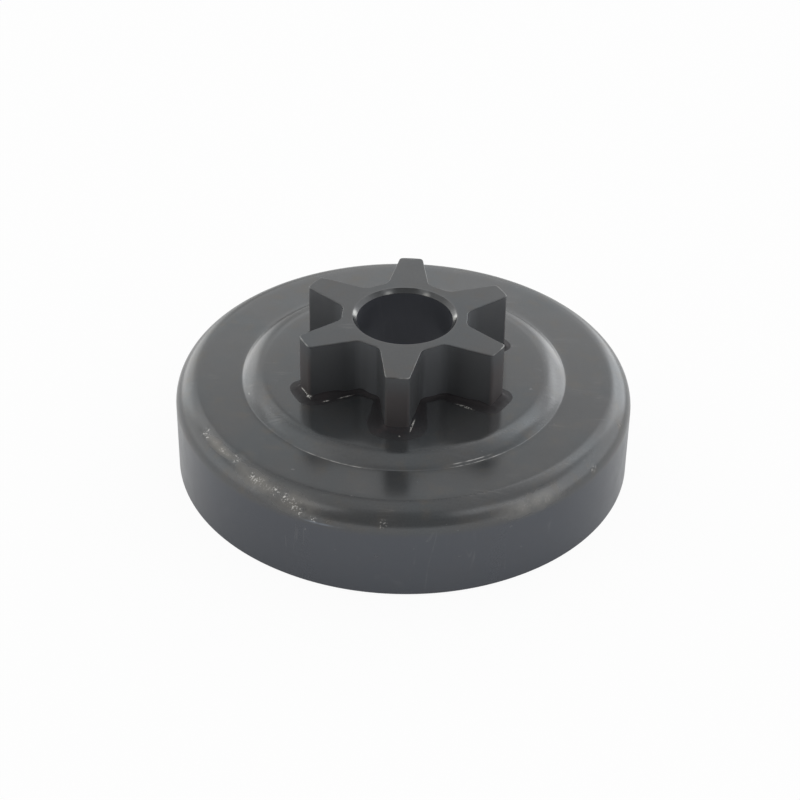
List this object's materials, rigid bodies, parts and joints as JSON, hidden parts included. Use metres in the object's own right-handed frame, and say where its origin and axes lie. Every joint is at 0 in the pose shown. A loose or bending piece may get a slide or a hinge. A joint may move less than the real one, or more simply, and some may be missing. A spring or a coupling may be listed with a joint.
{
  "type": "chainsaw clutch drum sprocket",
  "caption": "Dark steel chainsaw clutch drum: a drawn cup with a raised boss and a brazed spur sprocket, whose bore runs on a needle cage and whose teeth drive the saw chain.",
  "frame": {"origin": "on the bore's axis in the plane of the drum's open rim", "axes": "+Z along the bore's axis from the rim towards the teeth; -Y along one tooth"},
  "size_m": [0.0626, 0.0626, 0.0228],
  "materials": {
    "drum_steel": "black-oxidised sheet steel, semi-gloss, worn at the outer corner",
    "sprocket_steel": "black-oxidised milled steel, semi-gloss",
    "copper_braze": "darkened copper-based filler"
  },
  "bodies": {
    "root": {"clutch_drum": "drum_steel", "spur_sprocket": "sprocket_steel", "braze_fillets": "copper_braze"}
  },
  "joints": []
}
